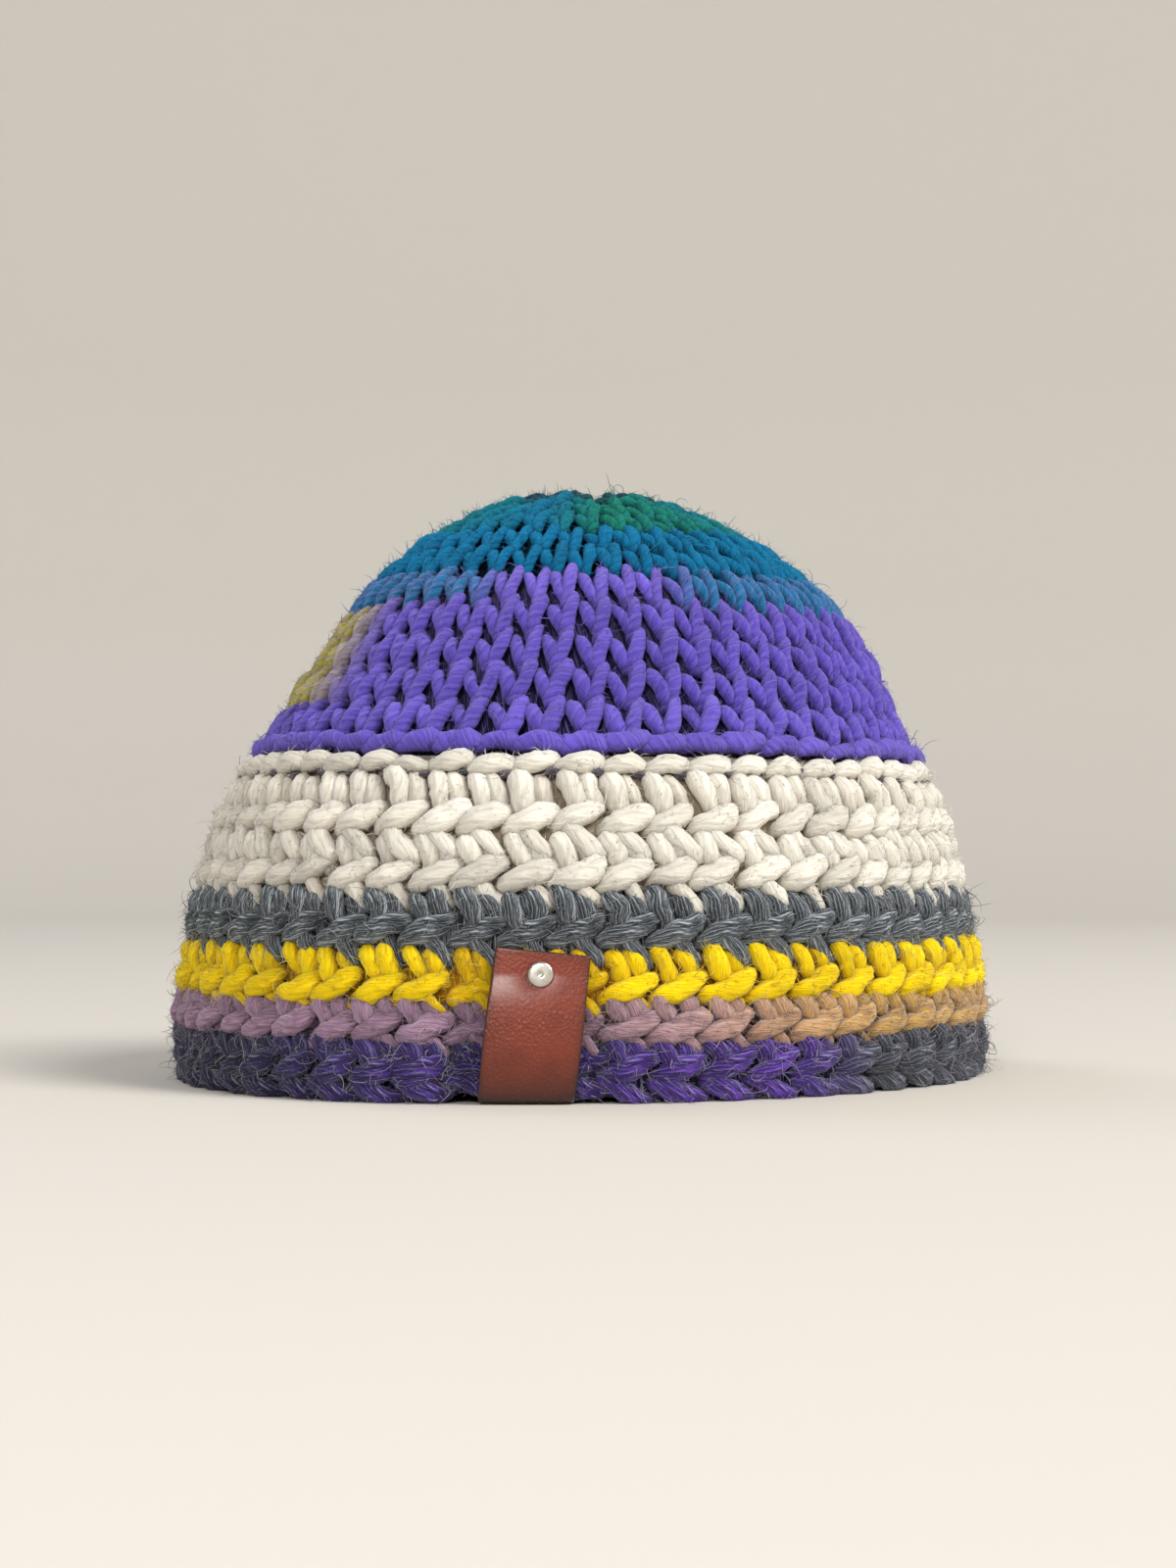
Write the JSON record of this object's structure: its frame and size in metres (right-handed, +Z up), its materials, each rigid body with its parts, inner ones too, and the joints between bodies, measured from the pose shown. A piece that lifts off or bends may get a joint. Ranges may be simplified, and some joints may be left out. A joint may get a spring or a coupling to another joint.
{
  "type": "knitted beanie",
  "caption": "Chunky hand-knitted beanie in striped wool with a gathered crown, a plain leather tag folded over its rim and a small rivet.",
  "frame": {"origin": "centre of the rim, on the surface that the hat rests on", "axes": "+Z up to the crown, -Y towards the front of the head, +X towards the wearer's left side, where the tag is"},
  "size_m": [0.175, 0.212, 0.1481],
  "materials": {
    "rim_yarn": "chunky wool, purple marled with grey",
    "mauve_yarn": "chunky wool, mauve turning to tan",
    "yellow_yarn": "chunky wool",
    "grey_yarn": "chunky wool, heathered",
    "cream_yarn": "chunky wool",
    "purple_yarn": "chunky wool, with an olive patch",
    "teal_yarn": "chunky wool, teal turning to green and black",
    "tag_leather": "satin, fine pebble grain, dark edges",
    "rivet_metal": "polished nickel plate"
  },
  "bodies": {
    "root": {"rim_stripe": "rim_yarn", "mauve_stripe": "mauve_yarn", "yellow_stripe": "yellow_yarn", "grey_stripe": "grey_yarn", "cream_stripe": "cream_yarn", "purple_body": "purple_yarn", "teal_crown": "teal_yarn", "leather_tag": "tag_leather", "rivet": "rivet_metal"}
  },
  "joints": []
}
